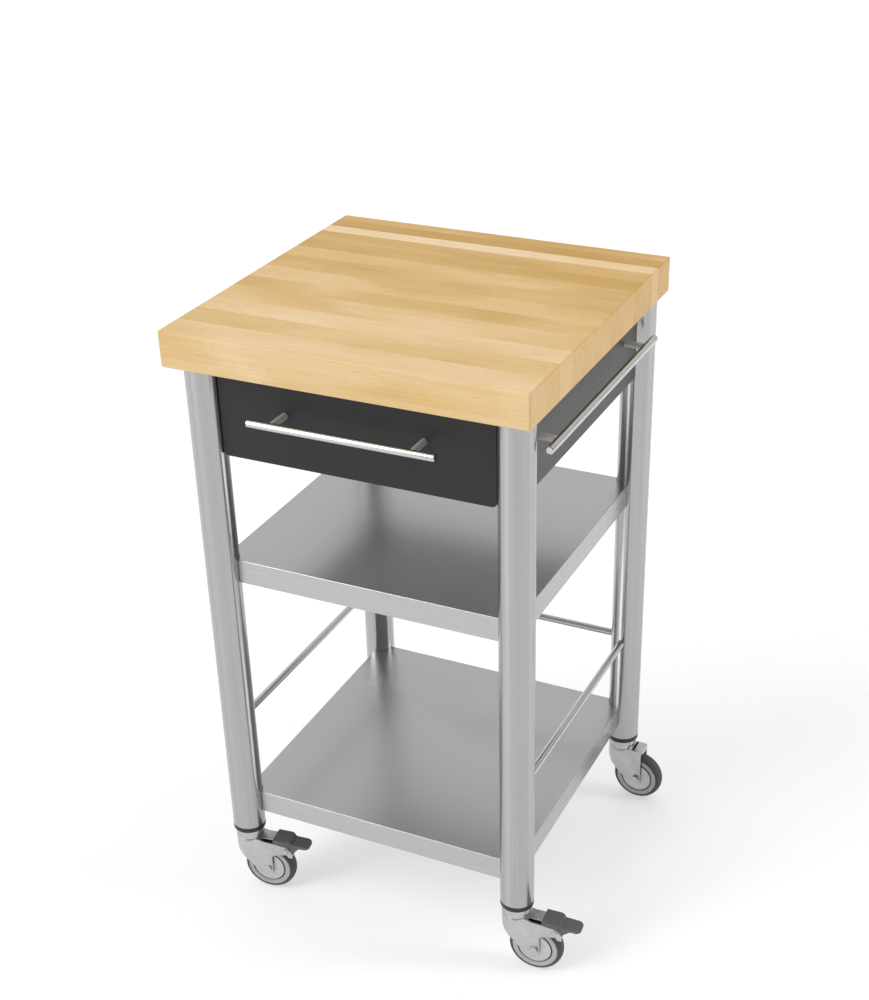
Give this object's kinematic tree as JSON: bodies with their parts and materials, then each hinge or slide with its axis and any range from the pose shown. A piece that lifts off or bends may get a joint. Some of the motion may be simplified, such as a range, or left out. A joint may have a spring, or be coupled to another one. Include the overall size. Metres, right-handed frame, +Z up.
{
  "type": "kitchen island cart",
  "caption": "Kitchen island cart: thick wooden block on round steel legs, drawer with bar handle, towel bar, steel shelves, guard rails and swivel casters with pedal brakes.",
  "frame": {"origin": "on the floor, below the middle of the cart's overall plan as it stands in the picture pose", "axes": "+X to the cart's right as seen from the drawer side, +Y to the back, +Z up; the drawer faces -Y"},
  "size_m": [0.5784, 0.5204, 0.9138],
  "materials": {
    "beech": "oiled, satin",
    "leg_steel": "brushed",
    "shelf_steel": "satin, brushed",
    "bar_steel": "polished lengthwise",
    "zinc": "bright zinc plated",
    "front_grey": "fibreboard with matt anthracite paint",
    "panel_grey": "fibreboard with matt grey paint",
    "drawer_board": "fibreboard with grey coating",
    "runner_steel": "zinc plated",
    "collar_black": "matt",
    "pedal_grey": "matt",
    "rim_grey": "matt",
    "tyre_rubber": "matt",
    "packer_wood": "bare"
  },
  "bodies": {
    "frame": {"worktop": "beech", "leg_front_left": "leg_steel", "leg_front_right": "leg_steel", "leg_rear_left": "leg_steel", "leg_rear_right": "leg_steel", "leg_plugs": "collar_black", "worktop_screws": "zinc", "middle_shelf": "shelf_steel", "lower_shelf": "shelf_steel", "shelf_brackets": "zinc", "shelf_bolts": "zinc", "rail_left": "bar_steel", "rail_right": "bar_steel", "rail_rear": "bar_steel", "housing_left": "panel_grey", "housing_right": "panel_grey", "housing_back": "panel_grey", "runner_packers": "packer_wood", "runners_fixed": "runner_steel", "towel_bar": "bar_steel", "towel_posts": "bar_steel", "towel_screws": "zinc", "caster_collars": "collar_black", "caster_stems": "zinc"},
    "drawer": {"drawer_front": "front_grey", "drawer_bottom": "drawer_board", "drawer_left": "drawer_board", "drawer_right": "drawer_board", "drawer_back": "drawer_board", "runners_inner": "runner_steel", "handle_bar": "bar_steel", "handle_posts": "bar_steel", "handle_screws": "zinc"},
    "runner_middles": {"runners_middle": "runner_steel"},
    "caster_front_left": {"fork_front_left": "zinc", "guards_front_left": "zinc", "axle_front_left": "zinc", "brake_pin_left": "zinc"},
    "wheel_front_left": {"wheel_front_left": "rim_grey", "tyre_front_left": "tyre_rubber"},
    "brake_left": {"brake_lever_left": "zinc", "brake_pedal_left": "pedal_grey"},
    "caster_front_right": {"fork_front_right": "zinc", "guards_front_right": "zinc", "axle_front_right": "zinc", "brake_pin_right": "zinc"},
    "wheel_front_right": {"wheel_front_right": "rim_grey", "tyre_front_right": "tyre_rubber"},
    "brake_right": {"brake_lever_right": "zinc", "brake_pedal_right": "pedal_grey"},
    "caster_rear_left": {"fork_rear_left": "zinc", "guards_rear_left": "zinc", "axle_rear_left": "zinc"},
    "wheel_rear_left": {"wheel_rear_left": "rim_grey", "tyre_rear_left": "tyre_rubber"},
    "caster_rear_right": {"fork_rear_right": "zinc", "guards_rear_right": "zinc", "axle_rear_right": "zinc"},
    "wheel_rear_right": {"wheel_rear_right": "rim_grey", "tyre_rear_right": "tyre_rubber"}
  },
  "joints": [
    {"name": "drawer_slide", "type": "slide", "parent": "frame", "child": "drawer", "axis": [0, -1, 0], "range_m": [0, 0.34]},
    {"name": "runner_slide", "type": "slide", "parent": "frame", "child": "runner_middles", "axis": [0, -1, 0], "range_m": [0, 0.17]},
    {"name": "swivel_front_left", "type": "hinge", "parent": "frame", "child": "caster_front_left", "pos_m": [-0.2496, -0.2123, 0.105], "axis": [0, 0, 1], "continuous": true},
    {"name": "spin_front_left", "type": "hinge", "parent": "caster_front_left", "child": "wheel_front_left", "pos_m": [-0.21981, -0.20801, 0.0403], "axis": [-0.1426, 0.9898, 0], "continuous": true},
    {"name": "brake_press_left", "type": "hinge", "parent": "caster_front_left", "child": "brake_left", "pos_m": [-0.19004, -0.20372, 0.07936], "axis": [-0.1426, 0.9898, 0], "range_deg": [0, 7]},
    {"name": "swivel_front_right", "type": "hinge", "parent": "frame", "child": "caster_front_right", "pos_m": [0.192, -0.2123, 0.105], "axis": [0, 0, 1], "continuous": true},
    {"name": "spin_front_right", "type": "hinge", "parent": "caster_front_right", "child": "wheel_front_right", "pos_m": [0.22202, -0.2101, 0.0403], "axis": [-0.0732, 0.9973, 0], "continuous": true},
    {"name": "brake_press_right", "type": "hinge", "parent": "caster_front_right", "child": "brake_right", "pos_m": [0.25202, -0.20789, 0.07936], "axis": [-0.0732, 0.9973, 0], "range_deg": [0, 7]},
    {"name": "swivel_rear_left", "type": "hinge", "parent": "frame", "child": "caster_rear_left", "pos_m": [-0.2496, 0.2293, 0.105], "axis": [0, 0, 1], "continuous": true},
    {"name": "spin_rear_left", "type": "hinge", "parent": "caster_rear_left", "child": "wheel_rear_left", "pos_m": [-0.21954, 0.23087, 0.0403], "axis": [-0.0523, 0.9986, 0], "continuous": true},
    {"name": "swivel_rear_right", "type": "hinge", "parent": "frame", "child": "caster_rear_right", "pos_m": [0.192, 0.2293, 0.105], "axis": [0, 0, 1], "continuous": true},
    {"name": "spin_rear_right", "type": "hinge", "parent": "caster_rear_right", "child": "wheel_rear_right", "pos_m": [0.22208, 0.22809, 0.0403], "axis": [0.0401, 0.9992, 0], "continuous": true}
  ],
  "couplings": [
    {"joint": "runner_slide", "follows": "drawer_slide", "ratio": 0.5}
  ]
}
